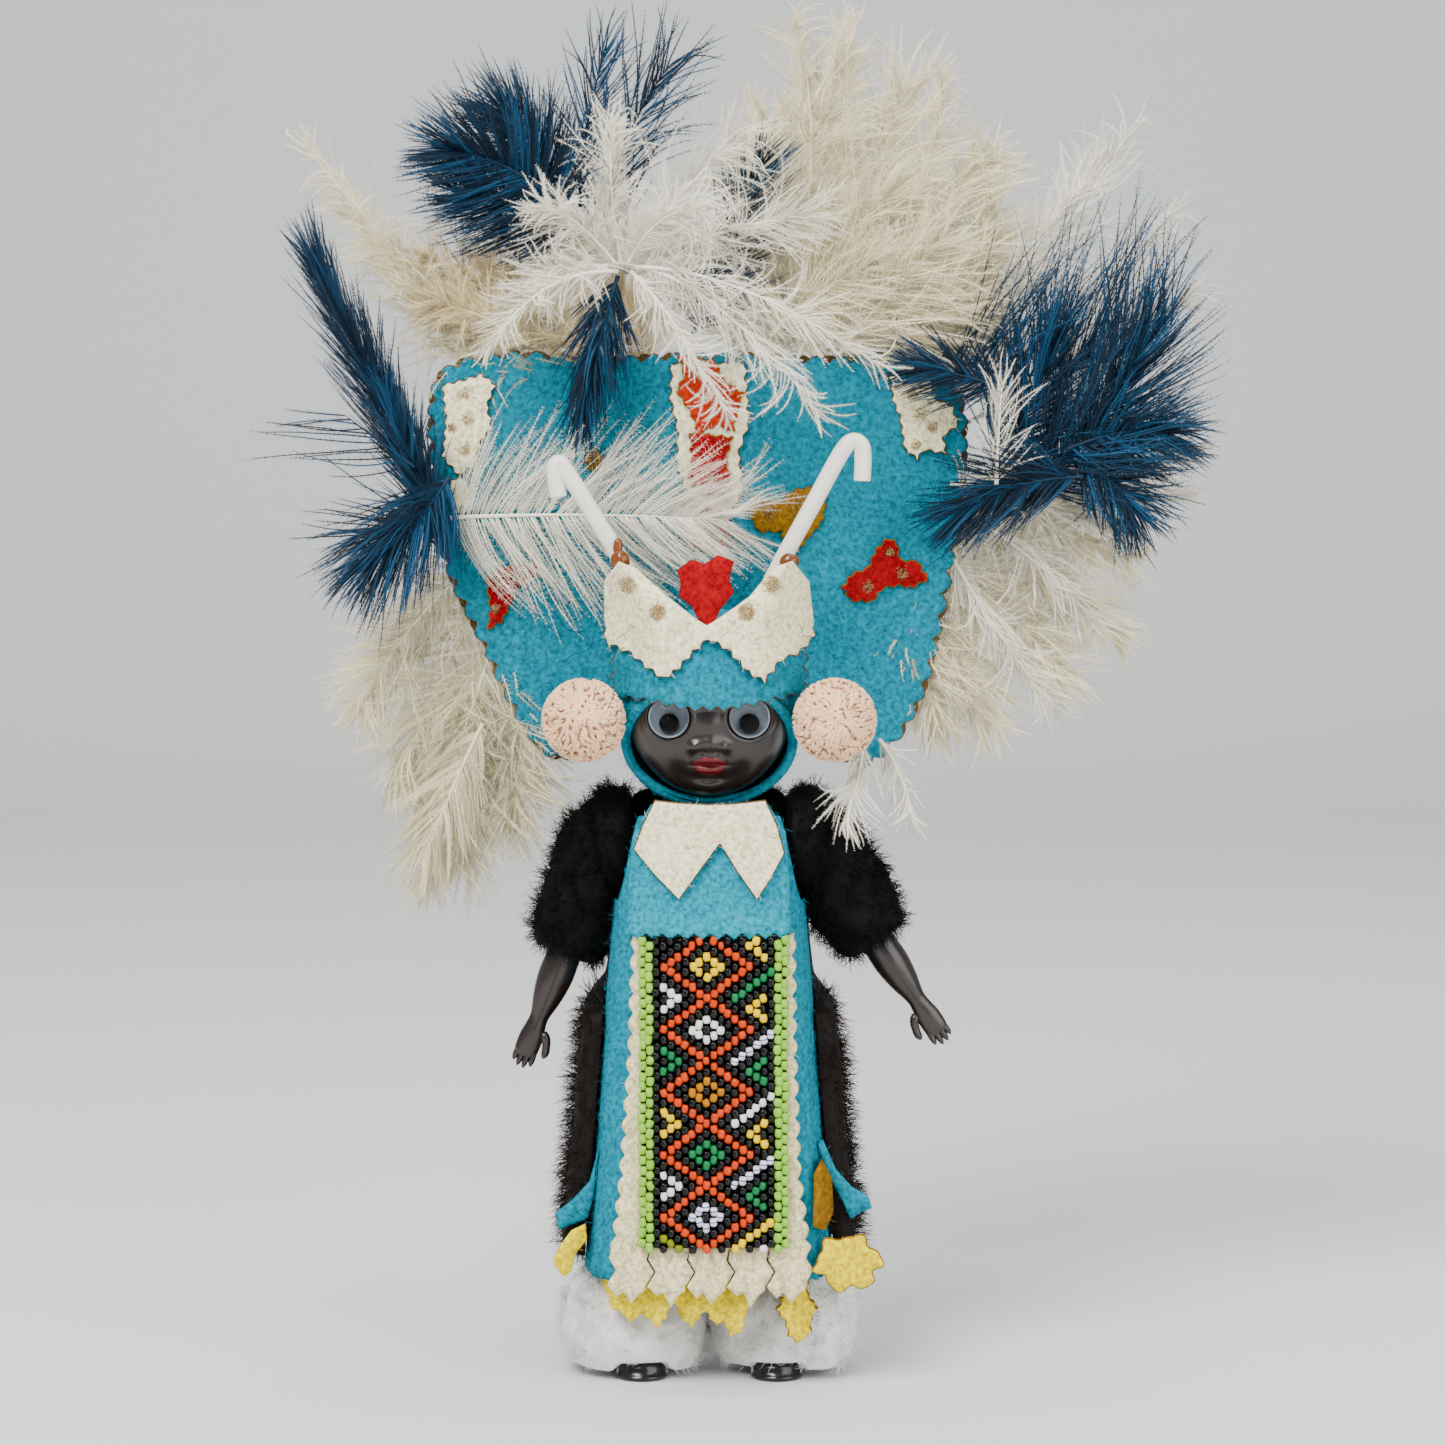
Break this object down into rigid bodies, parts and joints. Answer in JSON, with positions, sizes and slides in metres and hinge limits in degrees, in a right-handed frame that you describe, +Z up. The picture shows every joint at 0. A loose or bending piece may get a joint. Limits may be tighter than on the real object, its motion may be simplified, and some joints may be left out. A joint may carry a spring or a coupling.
{
  "type": "beaded souvenir doll",
  "caption": "Small strung plastic doll in a felt robe with a beaded front, fur coat and wool leggings; horned felt crown and tall ostrich-feather headdress; arms, head and eyes move.",
  "frame": {"origin": "on the floor, midway between the shoes, at the centre of the part's footprint", "axes": "+Z up from the shoes to the feathers, the doll faces -Y, +X is to the viewer's right when looking at its face"},
  "size_m": [0.2302, 0.0596, 0.312],
  "materials": {
    "brown_plastic": "satin moulded plastic",
    "black_plastic": "painted black",
    "turquoise_felt": "pressed craft felt",
    "cream_felt": "pressed craft felt",
    "yellow_felt": "pressed craft felt",
    "red_felt": "pressed craft felt",
    "mustard_felt": "felt with gold glitter",
    "brown_fur": "short pile fur",
    "black_fur": "long pile fur",
    "grey_wool": "carded fleece",
    "seed_beads": "glossy glass seed beads",
    "white_elastic": "braided elastic",
    "steel_wire": "bent wire",
    "white_plastic": "moulded",
    "clear_plastic": "clear dome",
    "ivory_tube": "extruded plastic tube",
    "peach_yarn": "cut yarn pile",
    "card_backing": "stiff backing under felt",
    "blue_feather": "dyed ostrich plume",
    "cream_feather": "natural ostrich plume",
    "white_feather": "natural ostrich plume"
  },
  "bodies": {
    "body": {"torso_shell": "brown_plastic", "arm_elastic": "white_elastic", "leg_elastic": "white_elastic", "neck_elastic": "white_elastic", "tunic": "turquoise_felt", "fur_coat": "brown_fur", "left_leg": "brown_plastic", "left_shoe": "black_plastic", "left_wool_legging": "grey_wool", "right_leg": "brown_plastic", "right_shoe": "black_plastic", "right_wool_legging": "grey_wool", "bib": "turquoise_felt", "collar": "cream_felt", "apron": "cream_felt", "bead_panel": "seed_beads", "mustard_strip": "mustard_felt", "yellow_zigzag": "yellow_felt", "yellow_leaf": "yellow_felt", "left_side_flap": "turquoise_felt", "right_side_flap": "turquoise_felt", "yellow_tab": "yellow_felt", "yellow_flower": "yellow_felt"},
    "arm_left": {"left_arm": "brown_plastic", "left_arm_hook": "steel_wire", "left_fur_sleeve": "black_fur"},
    "arm_right": {"right_arm": "brown_plastic", "right_arm_hook": "steel_wire", "right_fur_sleeve": "black_fur"},
    "head": {"head_shell": "brown_plastic", "neck_hook": "steel_wire", "hood": "turquoise_felt", "brow_band": "turquoise_felt", "crown": "cream_felt", "crown_insert": "red_felt", "left_eye_cell": "white_plastic", "left_eye_dome": "clear_plastic", "left_pompom": "peach_yarn", "left_horn": "ivory_tube", "right_eye_cell": "white_plastic", "right_eye_dome": "clear_plastic", "right_pompom": "peach_yarn", "right_horn": "ivory_tube", "headdress_board": "turquoise_felt", "board_backing": "card_backing", "centre_strip": "cream_felt", "blue_plume_top_left": "blue_feather", "white_plume_mop": "white_feather", "white_plume_droop": "white_feather", "cream_plume_top": "cream_feather", "cream_plume_upper_right": "cream_feather", "blue_plume_right": "blue_feather", "blue_plume_lower_right": "blue_feather", "cream_plume_lower_right": "cream_feather", "blue_plume_left": "blue_feather", "blue_plume_lower_left": "blue_feather", "cream_plume_lower_left": "cream_feather", "white_plume_across": "white_feather"},
    "pupil_left": {"left_pupil": "black_plastic"},
    "pupil_right": {"right_pupil": "black_plastic"}
  },
  "joints": [
    {"name": "left_shoulder", "type": "hinge", "parent": "body", "child": "arm_left", "pos_m": [-0.0232, 0, 0.124], "axis": [-1, 0, 0], "range_deg": [-45, 90]},
    {"name": "right_shoulder", "type": "hinge", "parent": "body", "child": "arm_right", "pos_m": [0.0232, 0, 0.124], "axis": [-1, 0, 0], "range_deg": [-45, 90]},
    {"name": "neck", "type": "hinge", "parent": "body", "child": "head", "pos_m": [0, 0, 0.134], "axis": [0, 0, 1], "range_deg": [-15, 15]},
    {"name": "left_pupil_roll", "type": "hinge", "parent": "head", "child": "pupil_left", "pos_m": [-0.0091, -0.0182, 0.1543], "axis": [0, 1, 0], "continuous": true},
    {"name": "right_pupil_roll", "type": "hinge", "parent": "head", "child": "pupil_right", "pos_m": [0.0091, -0.0182, 0.1543], "axis": [0, 1, 0], "continuous": true}
  ]
}
